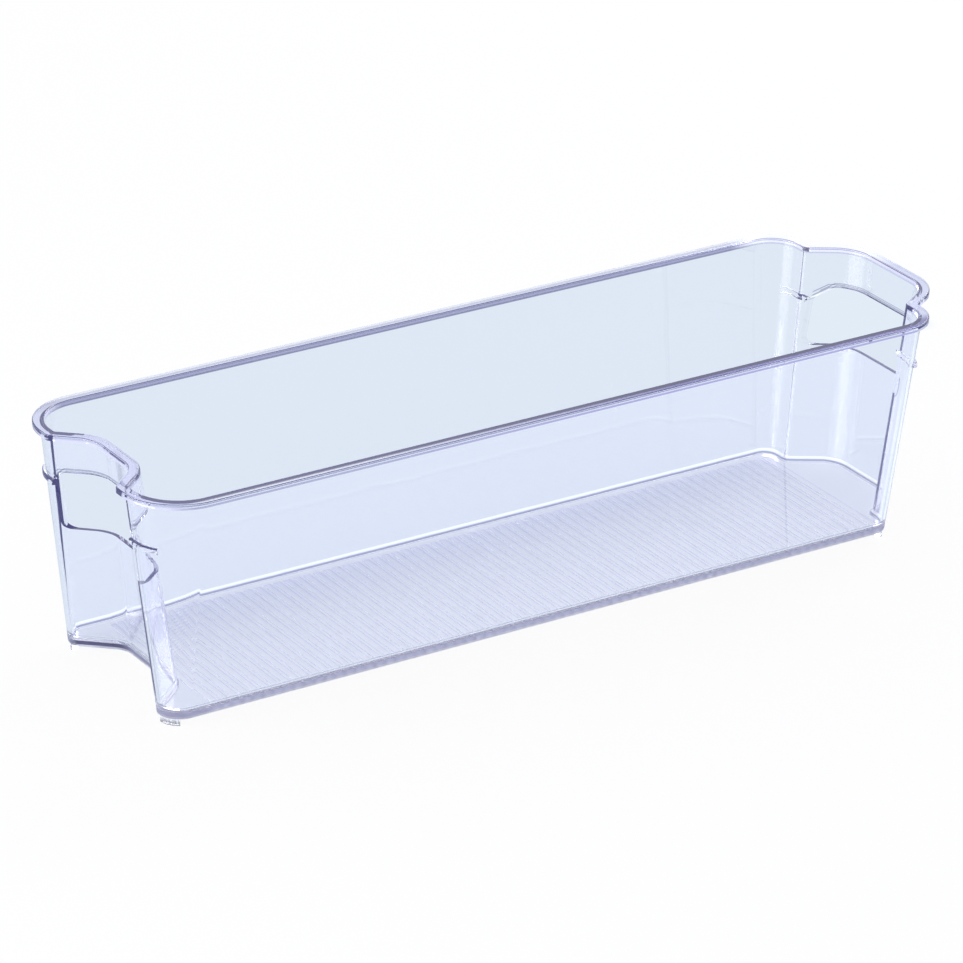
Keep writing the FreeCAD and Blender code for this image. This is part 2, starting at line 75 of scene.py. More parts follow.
INNER_BASE = dict(
    side=41.26, left_end=170.26, left_back=154.76, right_end=152.76, right_tip=170.26,
    left_mouth=32.81, right_mouth=29.5, left_column=7.2, left_bend=2.2, left_hollow=9.8,
    right_column=6.2, right_bend=3.4, right_bow=11.8,
)
LEFT_TURN = radians(48.5)
RIGHT_TURN = radians(57.9)

# Hand slots. The shoulder is how much of each upper corner is cut off.
LEFT_SLOT_HALF_WIDTH, LEFT_SLOT_SHOULDER = 29.4, 2.6
RIGHT_SLOT_HALF_WIDTH, RIGHT_SLOT_SHOULDER = 31.2, 4.8
SLOT_BOTTOM = 54.2
SLOT_TOP = 78.2
SLOT_CORNER = 3.2
SHOULDER_CORNER = 2.8
LEVEL_SLOT_EDGE = 25.1

# The short band on each column: it starts out of sight behind the slot's side.
BAND_BOTTOM = 72.4
BAND_TOP = 74.8
BAND_OVERHANG = 1.3
BAND_DEPTH_IN_WALL = 0.9
BAND_START_BEHIND_SLOT = 1.8
BAND_SWEEP = radians(36)

# Cross ribs under the floor, and the grooves between them.
RIB_HEIGHT = 0.9
RIB_PITCH = 4.4
GROOVE_WIDTH = 2.8
FIRST_GROOVE = -152.24
GROOVES = 69
LAST_GROOVE_END = FIRST_GROOVE + (GROOVES - 1) * RIB_PITCH + GROOVE_WIDTH
GROOVE_REACH = 37.6

# Curved feet, a hair short of the shell so that no two faces lie in one place.
FOOT_INSET = 0.8
FOOT_WIDTH = 2.6
FOOT_CLEARANCE = 0.02
FOOT_END_BEVEL = 1.2
FOOT_SWEEP = radians(62)

# Radius and steps of each rounded edge.
FLOOR_HOLLOW = (2.0, 6)
RIM_ROUND = (0.6, 4)
UNDERSIDE_ROUND = (0.5, 3)
SLOT_EDGE_ROUND = (0.3, 2)
BAND_ROUND = (0.7, 4)
RIB_ROUND = (0.2, 2)

# Two places nearer than this, in metres, are one.
SMALLEST = 1e-5
# An edge that turns more than this is a corner, and a curve that turns less per face is smooth.
CORNER_TURN = radians(40)
SMOOTH_TURN = radians(32)
# The mouth is drawn this much too high, because two outlines at one height don't bridge cleanly.
RAISED = 1.0
# Every outline starts as a circle of this radius, whose points are then moved to their places.
START_RADIUS = 10


# ---------------------------------------------------------------- tools for modelling by hand

def alone(piece):
    """Select one object and nothing else."""
    bpy.ops.object.select_all(action="DESELECT")
    piece.select_set(True)
    bpy.context.view_layer.objects.active = piece


def edit(piece, mode="VERT"):
    """Open a piece for editing with nothing selected."""
    alone(piece)
    bpy.ops.object.mode_set(mode="EDIT")
    bpy.ops.mesh.select_mode(type=mode)
    bpy.ops.mesh.select_all(action="DESELECT")


def close():
    """Leave edit mode."""
    bpy.ops.object.mode_set(mode="OBJECT")


def select_vertices(piece, wanted):
    """Select the vertices whose place answers yes, in edit mode."""
    bpy.ops.mesh.select_all(action="DESELECT")
    mesh = bmesh.from_edit_mesh(piece.data)
    for vertex in mesh.verts:
        vertex.select = wanted(vertex.co)
    mesh.select_flush(True)
    bmesh.update_edit_mesh(piece.data)


def select_edges(piece, wanted):
    """Select the edges that answer yes, in edit mode."""
    bpy.ops.mesh.select_all(action="DESELECT")
    mesh = bmesh.from_edit_mesh(piece.data)
    mesh.normal_update()
    for edge in mesh.edges:
        if wanted(edge):
            edge.select_set(True)
    bmesh.update_edit_mesh(piece.data)


def flat_outline(name, corners):
    """A flat face whose corners are moved to their places and rounded one by one.
    A corner is a place, a radius, how far the outline turns there, and the steps of its curve."""
    bpy.ops.object.select_all(action="DESELECT")
    bpy.ops.mesh.primitive_circle_add(
        vertices=len(corners), radius=START_RADIUS * MM, fill_type="NGON"
    )
    piece = bpy.context.object
    piece.name = name
    edit(piece)
    for i, (place, _, _, _) in enumerate(corners):
        mesh = bmesh.from_edit_mesh(piece.data)
        mesh.verts.ensure_lookup_table()
        start = mesh.verts[i].co.copy()
        mesh.verts[i].select = True
        bmesh.update_edit_mesh(piece.data)
        bpy.ops.transform.translate(value=place - start)
        bpy.ops.mesh.select_all(action="DESELECT")
    for place, radius, turn, steps in corners:
        select_vertices(piece, lambda at, place=place: (at - place).length < SMALLEST)
        bpy.ops.mesh.bevel(
            affect="VERTICES", offset=radius * tan(turn / 2), segments=steps, clamp_overlap=False
        )
    close()
    return piece


# Steps of the curve at each corner of the bin's plan.
RIGHT_BOW_STEPS = 14
BEND_STEPS = 8
RIGHT_COLUMN_STEPS = 20
LEFT_COLUMN_STEPS = 24
LEFT_HOLLOW_STEPS = 12


def bin_outline(name, height, plan):
    """The bin's plan at a height: hollow between the left columns, bowed between the right ones."""
    side, left_end, right_end = plan["side"], plan["left_end"], plan["right_end"]
    left_back, left_mouth = plan["left_back"], plan["left_mouth"]
    right_tip, right_mouth = plan["right_tip"], plan["right_mouth"]
    left_run = (left_end - left_back) / tan(LEFT_TURN)
    right_run = (right_tip - right_end) / tan(RIGHT_TURN)
    far_side = [
        (right_tip, right_mouth - right_run, "right_bow", RIGHT_TURN, RIGHT_BOW_STEPS),
        (right_end, right_mouth, "right_bend", RIGHT_TURN, BEND_STEPS),
        (right_end, side, "right_column", pi / 2, RIGHT_COLUMN_STEPS),
        (-left_end, side, "left_column", pi / 2, LEFT_COLUMN_STEPS),
        (-left_end, left_mouth, "left_bend", LEFT_TURN, BEND_STEPS),
        (-left_back, left_mouth - left_run, "left_hollow", LEFT_TURN, LEFT_HOLLOW_STEPS),
    ]
    near_side = [(x, -y, key, turn, steps) for x, y, key, turn, steps in reversed(far_side)]
    return flat_outline(name, [
        (Vector((x, y, height)) * MM, plan[key] * MM, turn, steps)
        for x, y, key, turn, steps in far_side + near_side
    ])


def share_of_wall(height):
    """How far up the outer wall a height is, from 0 at the underside to 1 at the rim."""
    return (height - TABLE_TO_SHELL) / (RIM_TOP - TABLE_TO_SHELL)


def between(low, high, share):
    """The plan part of the way up a wall."""
    return {key: low[key] + (high[key] - low[key]) * share for key in low}


def joined(name, pieces):
    """Several pieces made one object."""
    bpy.ops.object.select_all(action="DESELECT")
    for piece in pieces:
        piece.select_set(True)
    bpy.context.view_layer.objects.active = pieces[0]
    bpy.ops.object.join()
    pieces[0].name = name
    return pieces[0]


def boolean(piece, tool, operation):
    """Join a tool to a piece or cut it away, and remove the tool."""
    alone(piece)
    cut = piece.modifiers.new("cut", "BOOLEAN")
    cut.operation = operation
    cut.solver = "EXACT"
    cut.object = tool
    bpy.ops.object.modifier_apply(modifier=cut.name)
    bpy.data.objects.remove(tool)


def outward(piece):
    """Turn every face of a closed piece outwards."""
    edit(piece)
    bpy.ops.mesh.select_all(action="SELECT")
    bpy.ops.mesh.normals_make_consistent(inside=False)
    close()


# ---------------------------------------------------------------- the moulded shell

def tub():
    """Walls, floor and rim flange, drawn as outlines from the underside up and down the inside."""
    wall_top = between(OUTER_BASE, OUTER_RIM, share_of_wall(RIM_UNDERSIDE))
    rings = [
        bin_outline("underside", TABLE_TO_SHELL, OUTER_BASE),
        bin_outline("wall_top", RIM_UNDERSIDE, wall_top),
        bin_outline("flange_underside", RIM_UNDERSIDE, FLANGE_EDGE),
        bin_outline("flange_top", RIM_TOP, FLANGE_EDGE),
        bin_outline("mouth", RIM_TOP + RAISED, INNER_RIM),
        bin_outline("floor", FLOOR_TOP, INNER_BASE),
    ]
    counts = [len(ring.data.vertices) for ring in rings]
    for ring in rings[1:-1]:
        edit(ring, "FACE")
        bpy.ops.mesh.select_all(action="SELECT")
        bpy.ops.mesh.delete(type="ONLY_FACE")
        close()
    shell = joined("clear_shell", rings)
    first = 0
    edit(shell, "EDGE")
    for low, high in zip(counts, counts[1:]):
        spans = (range(first, first + low), range(first + low, first + low + high))
        bpy.ops.mesh.select_all(action="DESELECT")
        mesh = bmesh.from_edit_mesh(shell.data)
        for edge in mesh.edges:
            if any(all(v.index in span for v in edge.verts) for span in spans):
                edge.select_set(True)
        bmesh.update_edit_mesh(shell.data)
        bpy.ops.mesh.bridge_edge_loops()
        first += low
    select_vertices(shell, lambda at: at.z > (RIM_TOP + RAISED / 2) * MM)
    bpy.ops.transform.translate(value=(0, 0, -RAISED * MM))
    close()
    outward(shell)
    return shell


def is_corner(edge):
    """Answers whether two faces meet at an edge in a corner."""
    return edge.is_manifold and edge.calc_face_angle() > CORNER_TURN


def lies_at(edge, height):
    """Answers whether an edge lies level at a height."""
    return all(abs(v.co.z - height * MM) < SMALLEST for v in edge.verts)


def round_edges(piece, wanted, rounding):
    """Round the edges that answer yes."""
    radius, steps = rounding
    edit(piece, "EDGE")
    select_edges(piece, wanted)
    bpy.ops.mesh.bevel(
        affect="EDGES", offset=radius * MM, segments=steps, clamp_overlap=False
    )
    close()


def round_level_edges(shell, height, rounding):
    """Round the corners of the shell that lie level at a height."""
    round_edges(shell, lambda edge: lies_at(edge, height) and is_corner(edge), rounding)


# What the plan calls the end face and the corner radius at each end of the bin.
END_FACE = {-1: "left_end", +1: "right_end"}
COLUMN = {-1: "left_column", +1: "right_column"}

BAND_STEPS = 9


def column_band(end, half_width):
    """A short rounded band on the far column of one end, from beside the slot round the column."""
    level = (BAND_BOTTOM + BAND_TOP) / 2
    plan = between(OUTER_BASE, OUTER_RIM, share_of_wall(level))
    end_face = plan[END_FACE[end]]
    radius = plan[COLUMN[end]]
    column_y = plan["side"] - radius
    start_y = half_width - BAND_START_BEHIND_SLOT
    inner, outer = end_face - BAND_DEPTH_IN_WALL, end_face + BAND_OVERHANG
    middle = Vector((end * (inner + outer) / 2, start_y, level)) * MM
    bpy.ops.object.select_all(action="DESELECT")
    bpy.ops.mesh.primitive_plane_add(size=1, location=middle, rotation=(pi / 2, 0, 0))
    band = bpy.context.object
    bpy.ops.transform.resize(value=((outer - inner) * MM, 1, (BAND_TOP - BAND_BOTTOM) * MM))
    bpy.ops.object.transform_apply(location=True, rotation=True, scale=True)
    edit(band)
    select_vertices(band, lambda at: abs(at.x) > abs(middle.x))
    bpy.ops.mesh.bevel(affect="VERTICES", offset=BAND_ROUND[0] * MM, segments=BAND_ROUND[1])
    bpy.ops.mesh.select_all(action="SELECT")
    bpy.ops.mesh.extrude_region_move(
        TRANSFORM_OT_translate={"value": (0, (column_y - start_y) * MM, 0)}
    )
    bpy.ops.mesh.spin(
        steps=BAND_STEPS, angle=-end * BAND_SWEEP,
        center=Vector((end * (end_face - radius), column_y, 0)) * MM, axis=(0, 0, 1),
    )
    close()
    outward(band)
    return band


# The room of a slot starts this far from the bin's middle and runs on past the end wall.
SLOT_ROOM_START = 140
SLOT_ROOM_LENGTH = 60
SLOT_CORNER_STEPS = 8


def slot_cutter(end, half_width, shoulder):
    """The room of a hand slot, with its upper corners cut off, pushed through an end wall."""
    half_top, shoulder_height = half_width - shoulder, SLOT_TOP - shoulder
    corners = [
        (half_width, SLOT_BOTTOM, SLOT_CORNER, pi / 2),
        (half_width, shoulder_height, SHOULDER_CORNER, pi / 4),
        (half_top, SLOT_TOP, SHOULDER_CORNER, pi / 4),
        (-half_top, SLOT_TOP, SHOULDER_CORNER, pi / 4),
        (-half_width, shoulder_height, SHOULDER_CORNER, pi / 4),
        (-half_width, SLOT_BOTTOM, SLOT_CORNER, pi / 2),
    ]
    cutter = flat_outline("slot_room", [
        (Vector((end * SLOT_ROOM_START, y, z)) * MM, radius * MM, turn, SLOT_CORNER_STEPS)
        for y, z, radius, turn in corners
    ])
    edit(cutter)
    bpy.ops.mesh.select_all(action="SELECT")
    bpy.ops.mesh.extrude_region_move(
        TRANSFORM_OT_translate={"value": (end * SLOT_ROOM_LENGTH * MM, 0, 0)}
    )
    close()
    outward(cutter)
    return cutter


def round_slot_edges(shell):
    """Take the sharpness off the edges of the slots where they run level."""
    def is_level_slot_edge(edge):
        at_slot = lies_at(edge, SLOT_BOTTOM) or lies_at(edge, SLOT_TOP)
        between_corners = all(abs(v.co.y) < LEVEL_SLOT_EDGE * MM for v in edge.verts)
        return at_slot and between_corners and is_corner(edge)

    round_edges(shell, is_level_slot_edge, SLOT_EDGE_ROUND)


# The room of a groove starts this far under the shell.
GROOVE_ROOM_DEPTH = 1.0


def groove_cutters():
    """The rounded grooves under the floor that leave cross ribs between them."""
    low = TABLE_TO_SHELL - GROOVE_ROOM_DEPTH
    high = TABLE_TO_SHELL + RIB_HEIGHT
    middle = Vector((FIRST_GROOVE + GROOVE_WIDTH / 2, 0, (low + high) / 2)) * MM
    bpy.ops.object.select_all(action="DESELECT")
    bpy.ops.mesh.primitive_cube_add(
        size=1, location=middle,
        scale=Vector((GROOVE_WIDTH, 2 * GROOVE_REACH, high - low)) * MM,
    )
    groove = bpy.context.object
    groove.name = "groove_room"
    bpy.ops.object.transform_apply(location=True, rotation=True, scale=True)
    edit(groove, "EDGE")
    select_edges(groove, lambda edge: lies_at(edge, high))
    bpy.ops.mesh.bevel(affect="EDGES", offset=RIB_ROUND[0] * MM, segments=RIB_ROUND[1])
    close()
    row = groove.modifiers.new("row", "ARRAY")
    row.count = GROOVES
    row.use_relative_offset = False
    row.use_constant_offset = True
    row.constant_offset_displace = (RIB_PITCH * MM, 0, 0)
    bpy.ops.object.modifier_apply(modifier=row.name)
    return groove


def mirrored_copy(piece, name):
    """A copy on the near side, with its own mesh."""
    alone(piece)
    bpy.ops.object.duplicate(linked=False)
    copy = bpy.context.object
    copy.name = name
    edit(copy)
    bpy.ops.mesh.select_all(action="SELECT")
    bpy.ops.transform.mirror(constraint_axis=(False, True, False), center_override=(0, 0, 0))
    close()
    outward(copy)
    return copy


SLOTS = (
    (-1, LEFT_SLOT_HALF_WIDTH, LEFT_SLOT_SHOULDER),
    (+1, RIGHT_SLOT_HALF_WIDTH, RIGHT_SLOT_SHOULDER),
)


def clear_shell():
    """The whole moulding: tub, rounded edges, bands, hand slots and grooves."""
    shell = tub()
    round_level_edges(shell, FLOOR_TOP, FLOOR_HOLLOW)
    round_level_edges(shell, RIM_TOP, RIM_ROUND)
    round_level_edges(shell, TABLE_TO_SHELL, UNDERSIDE_ROUND)
    for end, half_width, _ in SLOTS:
        far = column_band(end, half_width)
        near = mirrored_copy(far, "near_band")
        boolean(shell, far, "UNION")
        boolean(shell, near, "UNION")
    for end, half_width, shoulder in SLOTS:
        boolean(shell, slot_cutter(end, half_width, shoulder), "DIFFERENCE")
    round_slot_edges(shell)
    boolean(shell, groove_cutters(), "DIFFERENCE")
    return shell


FOOT_STEPS = 16
# The edges under the ends of a foot are longer than this, and those along its curve are shorter.
SHORTEST_END_EDGE = 2


def corner_foot(name, end):
    """A curved foot under a far corner column: it starts at the end face and follows the column."""
    end_face, column = OUTER_BASE[END_FACE[end]], OUTER_BASE[COLUMN[end]]
    side = OUTER_BASE["side"]
    outer = column - FOOT_INSET
    inner = outer - FOOT_WIDTH
    centre = Vector((end * (end_face - column), side - column, 0)) * MM
    height = TABLE_TO_SHELL - FOOT_CLEARANCE
    middle = centre + Vector((end * (inner + outer) / 2, 0, height / 2)) * MM
    bpy.ops.object.select_all(action="DESELECT")
    bpy.ops.mesh.primitive_plane_add(size=1, location=middle, rotation=(pi / 2, 0, 0))
    foot = bpy.context.object
    foot.name = name
    bpy.ops.transform.resize(value=((outer - inner) * MM, 1, height * MM))
    bpy.ops.object.transform_apply(location=True, rotation=True, scale=True)
    edit(foot, "FACE")
    bpy.ops.mesh.select_all(action="SELECT")
    bpy.ops.mesh.spin(steps=FOOT_STEPS, angle=-end * FOOT_SWEEP, center=centre, axis=(0, 0, 1))
    close()
    outward(foot)
    edit(foot, "EDGE")
    select_edges(
        foot, lambda edge: lies_at(edge, 0) and edge.calc_length() > SHORTEST_END_EDGE * MM
    )
    bpy.ops.mesh.bevel(affect="EDGES", offset=FOOT_END_BEVEL * MM, segments=1)
    close()
    return foot


def finished(piece):
    """Smooth the curves, keep the flats flat."""
    alone(piece)
    bpy.ops.object.shade_smooth_by_angle(angle=SMOOTH_TURN)
    flats = piece.modifiers.new("flats", "WEIGHTED_NORMAL")
    flats.keep_sharp = True
    bpy.ops.object.modifier_apply(modifier=flats.name)
    return piece


# ---------------------------------------------------------------- finishes

PLASTIC_IOR = 1.57
POLISHED = 0.015
GRAINED = 0.42

# The soft waves of a moulding: how many, how rough, and how deep in metres.
WAVE_SCALE = 22
WAVE_DETAIL = 2
WAVE_DEPTH = 0.0004

# Tint of the plastic through its thickness, how dense it is, and how strong its waves are.
SHELL_TINT, SHELL_TINT_DENSITY, SHELL_WAVES = (0.3, 0.25, 0.5, 1), 8, 0.25
FEET_TINT, FEET_TINT_DENSITY, FEET_WAVES = (0.9, 0.92, 0.95, 1), 5, 0.1

WHITE = (1, 1, 1, 1)
# Painted shade in the plastic's own violet: the ribs darker at the back, the floor edge, darkest in
# a streak under the hollow left end, and dark lines along the rounded floor edge and over the
# slots, standing in for the shade that refraction shows there.
NEAR_RIBS = (1, 1, 1, 1)
FAR_RIBS_PAINTED_SHADE = (0.8, 0.82, 0.95, 1)
PAINTED_DARK_LINE = (0.35, 0.37, 0.52, 1)
PAINTED_SLOT_LINE = (0.25, 0.25, 0.36, 1)
FLOOR_EDGE_PAINTED_SHADE = (0.62, 0.62, 0.79, 1)
HOLLOW_EDGE_PAINTED_SHADE = (0.2, 0.18, 0.32, 1)
PAINTED_SHADE_STREAK = (0.02, 0.018, 0.05, 1)
# Painted shade on the flange in the plastic's own violet: paler over the overhang, dark on its
# inner faces along the long sides, and deepest along the right half of the near rim.
FLANGE_PAINTED_SHADE = (0.82, 0.8, 0.93, 1)
FLANGE_PALE = (0.93, 0.94, 0.98, 1)
FLANGE_SIDE_PAINTED_SHADE = (0.10, 0.105, 0.2, 1)
FLANGE_END_PAINTED_SHADE = (0.6, 0.61, 0.76, 1)
DEEP_RIM_PAINTED_SHADE = (0.14, 0.125, 0.33, 1)

# Painted light: emission colours that make the plastic glow though it is no lamp. A faint violet
# glow all over the shell, painted highlights along the rounded floor edge and on the rim's top,
# brightest at the right back corner, painted light on the near part of the ribbed floor, and a
# painted glow on the feet.
PAINTED_VIOLET_GLOW = (0.0085, 0.008, 0.028, 1)
PAINTED_WHITE_LINE_HIGHLIGHT = (0.3, 0.3, 0.3, 1)
PAINTED_FLOOR_LIGHT = (0.065, 0.06, 0.08, 1)
PAINTED_RIM_TOP_HIGHLIGHT = (0.14, 0.14, 0.13, 1)
PAINTED_CLEAR_RIM_HIGHLIGHT = (0.22, 0.22, 0.2, 1)
PAINTED_FEET_GLOW = (0.21, 0.212, 0.24, 1)

# Where each part of the shell's finish, painted shade and painted highlights included, starts and
# where it is full, in millimetres.
GROOVE_ROOF = TABLE_TO_SHELL + RIB_HEIGHT
UNDER_THE_FLOOR = (GROOVE_ROOF + 0.15, GROOVE_ROOF + 0.05)
GRAIN_ENDS = (FLOOR_TOP - 0.25, FLOOR_TOP - 0.05)
FLOOR_EDGE_STARTS = (GROOVE_ROOF + 0.1, GROOVE_ROOF + 0.3)
FLOOR_EDGE_ENDS = (FLOOR_TOP - 0.05, FLOOR_TOP - 0.35)
BY_THE_FLOOR = (FLOOR_TOP + 3, FLOOR_TOP + 2)
FAR_RIBS_ACROSS = (12, 36)
LIT_FLOOR_ACROSS = (36, -10)
HOLLOW_EDGE_ALONG = (-150, -153)
HOLLOW_EDGE_OFF_MIDDLE = (34, 31)
BY_THE_SLOT = (30.5, 30)
FLANGE_STARTS = (RIM_UNDERSIDE - 0.2, RIM_UNDERSIDE + 0.1)
OVERHANG_STARTS = (OUTER_RIM["side"] + 0.2, OUTER_RIM["side"] + 0.9)
DEEP_RIM_ALONG = (-100, 40)
DEEP_RIM_ACROSS = (-45, -50)
CLEAR_CORNER_ALONG = (138, 150)
CLEAR_CORNER_ACROSS = (0, 16)

# Middle, half width and soft edge of some others, in millimetres.
RIBS_ALONG = ((FIRST_GROOVE + LAST_GROOVE_END) / 2, (LAST_GROOVE_END - FIRST_GROOVE) / 2, 0.3)
RIBS_ACROSS = (0, GROOVE_REACH, 0.3)
STREAK_ACROSS = (25, 6, 5)
BETWEEN_LONG_SIDES = (0, 46, 4)
SLOT_LINES = ((0.3, 0.12, 0.12), (1.35, 0.12, 0.12))

# The level part of a painted dark slot line ends this far from the middle, and goes on down the
# diagonal.
SLOT_LEVEL_END = 26.6
DIAGONAL = 0.707

# How far the surface looks up, from 0 for an upright wall to 1 for a level one: start and full,
# or middle, half width and soft edge.
LEVEL_TILT = (0.4, 0.6)
RIM_TOP_TILT = (0.8, 0.9)
DARK_LINE_TILT = (0.8, 0.07, 0.06)
WHITE_LINE_TILT = (0.45, 0.2, 0.1)
# How far a surface looks away from the middle of the bin, in metres: start and full.
LOOKS_INWARDS = (0.055, 0.04)


def metres(sizes):
    """Sizes in millimetres turned into metres."""
    return [size * MM for size in sizes]


def ramp_between(finish, source, low, high, at_low=0.0, at_high=1.0):
    """A value that goes from one amount to another while a source goes from low to high."""
    step = finish.node_tree.nodes.new("ShaderNodeMapRange")
    for name, value in (
        ("From Min", low), ("From Max", high), ("To Min", at_low), ("To Max", at_high)
    ):
        step.inputs[name].default_value = value
    finish.node_tree.links.new(source, step.inputs["Value"])
    return step.outputs[0]


def combined(finish, way, first, second):
    """Two sources, or a source and a number, put together by one sum."""
    both = finish.node_tree.nodes.new("ShaderNodeMath")
    both.operation = way
    for socket, source in zip(both.inputs, (first, second)):
        if isinstance(source, float):
            socket.default_value = source
        else:
            finish.node_tree.links.new(source, socket)
    return both.outputs[0]


def times(finish, first, *others):
    """The product of several shares."""
    for other in others:
        first = combined(finish, "MULTIPLY", first, other)
    return first


def away_from(finish, source, middle):
    """How far a source is from a middle value."""
    size = finish.node_tree.nodes.new("ShaderNodeMath")
    size.operation = "ABSOLUTE"
    away = combined(finish, "SUBTRACT", source, float(middle))
    finish.node_tree.links.new(away, size.inputs[0])
    return size.outputs[0]


def stretch(finish, source, middle, half_width, soft):
    """1 where a source is within a half width of its middle, 0 past a soft edge."""
    off = away_from(finish, source, middle)
    return ramp_between(finish, off, half_width + soft, half_width)


def blended(finish, share, first, second):
    """One colour that turns into another as a share goes from 0 to 1."""
    mix = finish.node_tree.nodes.new("ShaderNodeMix")
    mix.data_type = "RGBA"
    for socket, colour in (("A", first), ("B", second)):
        if isinstance(colour, tuple):
            mix.inputs[socket].default_value = colour
        else:
            finish.node_tree.links.new(colour, mix.inputs[socket])
    finish.node_tree.links.new(share, mix.inputs["Factor"])
    return mix.outputs["Result"]


def place_of(finish):
    """The place of a point on a piece, whole and as its three parts: along, across and up."""
    parts = finish.node_tree.nodes
    place = parts.new("ShaderNodeTexCoord").outputs["Object"]
    split = parts.new("ShaderNodeSeparateXYZ")
    finish.node_tree.links.new(place, split.inputs[0])
    return place, *split.outputs


def clear_plastic(name, tint, density, waviness, painted_glow):
    """Clear polished plastic with the soft waves of a moulding and a faint painted glow: an
    emission colour that stands in for light, though the plastic is no lamp.
    """
    finish = bpy.data.materials.new(name)
    finish.use_nodes = True
    parts, links = finish.node_tree.nodes, finish.node_tree.links
    gloss = parts["Principled BSDF"]
    gloss.inputs["Base Color"].default_value = WHITE
    gloss.inputs["Roughness"].default_value = POLISHED
    gloss.inputs["IOR"].default_value = PLASTIC_IOR
    gloss.inputs["Transmission Weight"].default_value = 1.0
    # Painted light: the plastic glows by this emission colour.
    gloss.inputs["Emission Color"].default_value = painted_glow
    gloss.inputs["Emission Strength"].default_value = 1.0
    finish.cycles.emission_sampling = "NONE"
    body = parts.new("ShaderNodeVolumeAbsorption")
    body.inputs["Color"].default_value = tint
    body.inputs["Density"].default_value = density
    links.new(body.outputs[0], parts["Material Output"].inputs["Volume"])
    waves = parts.new("ShaderNodeTexNoise")
    waves.inputs["Scale"].default_value = WAVE_SCALE
    waves.inputs["Detail"].default_value = WAVE_DETAIL
    bump = parts.new("ShaderNodeBump")
    bump.inputs["Strength"].default_value = waviness
    bump.inputs["Distance"].default_value = WAVE_DEPTH
    links.new(place_of(finish)[0], waves.inputs["Vector"])
    links.new(waves.outputs["Fac"], bump.inputs["Height"])
    links.new(bump.outputs["Normal"], gloss.inputs["Normal"])
    return finish


def surface(finish):
    """What a finish asks of a point: its place, how far it is from the bin's long middle plane, and
    how far the surface looks up and away from the middle of the bin."""
    parts, links = finish.node_tree.nodes, finish.node_tree.links
    place, along, across, height = place_of(finish)
    facing = parts.new("ShaderNodeNewGeometry")
    tilt = parts.new("ShaderNodeSeparateXYZ")
    outwards = parts.new("ShaderNodeVectorMath")
    outwards.operation = "DOT_PRODUCT"
    links.new(facing.outputs["Normal"], tilt.inputs[0])
    links.new(facing.outputs["Normal"], outwards.inputs[0])
    links.new(place, outwards.inputs[1])
    # Seen from inside the plastic the normal is turned round, and this turns it back.
    seen_side = ramp_between(finish, facing.outputs["Backfacing"], 0, 1, 1, -1)
    return SimpleNamespace(
        along=along, across=across, height=height, tilt=tilt.outputs["Z"],
        off_middle=away_from(finish, across, 0),
        outwards=times(finish, outwards.outputs["Value"], seen_side),
    )


def over_the_slot(finish, at):
    """How far a point is above a hand slot's upper edge, its cut-off corners included."""
    over_top = combined(finish, "SUBTRACT", at.height, SLOT_TOP * MM)
    up_and_across = combined(finish, "ADD", at.height, at.off_middle)
    past_corner = combined(finish, "SUBTRACT", up_and_across, (SLOT_TOP + SLOT_LEVEL_END) * MM)
    past_corner = combined(finish, "MULTIPLY", past_corner, DIAGONAL)
    return combined(finish, "MAXIMUM", over_top, past_corner)


def shell_zones(finish, at):
    """The shares, from 0 to 1, that say where each part of the shell's finish lies, its painted
    shade and painted highlights included.
    """
    def ramp(source, zone):
        return ramp_between(finish, source, *metres(zone))

    def band(source, zone):
        return stretch(finish, source, *metres(zone))

    low = ramp(at.height, UNDER_THE_FLOOR)
    level = ramp_between(finish, away_from(finish, at.tilt, 0), *LEVEL_TILT)
    by_the_floor = ramp(at.height, BY_THE_FLOOR)
    by_the_slot = ramp(at.off_middle, BY_THE_SLOT)
    over_slot = over_the_slot(finish, at)
    flange = ramp(at.height, FLANGE_STARTS)
    inwards = ramp_between(finish, at.outwards, *LOOKS_INWARDS)
    return SimpleNamespace(
        ribs=times(finish, low, band(at.along, RIBS_ALONG), band(at.across, RIBS_ACROSS)),
        far_ribs_painted_shade=ramp(at.across, FAR_RIBS_ACROSS),
        painted_lit_floor=times(finish, low, level, ramp(at.across, LIT_FLOOR_ACROSS)),
        floor_edge=times(
            finish, ramp(at.height, FLOOR_EDGE_STARTS), ramp(at.height, FLOOR_EDGE_ENDS)
        ),
        hollow_edge=times(
            finish, ramp(at.along, HOLLOW_EDGE_ALONG), ramp(at.off_middle, HOLLOW_EDGE_OFF_MIDDLE)
        ),
        painted_streak=band(at.across, STREAK_ACROSS),
        painted_dark_line=times(finish, by_the_floor, stretch(finish, at.tilt, *DARK_LINE_TILT)),
        painted_white_line=times(finish, by_the_floor, stretch(finish, at.tilt, *WHITE_LINE_TILT)),
        painted_slot_lines=[times(finish, band(over_slot, line), by_the_slot) for line in SLOT_LINES],
        flange=flange,
        overhang=ramp(at.off_middle, OVERHANG_STARTS),
        rim_top=times(finish, flange, ramp_between(finish, at.tilt, *RIM_TOP_TILT)),
        inner_flange=times(finish, flange, inwards),
        between_long_sides=band(at.across, BETWEEN_LONG_SIDES),
        painted_deep_rim=times(finish, ramp(at.along, DEEP_RIM_ALONG), ramp(at.across, DEEP_RIM_ACROSS)),
        clear_corner=times(
            finish, ramp(at.along, CLEAR_CORNER_ALONG), ramp(at.across, CLEAR_CORNER_ACROSS)
        ),
    )


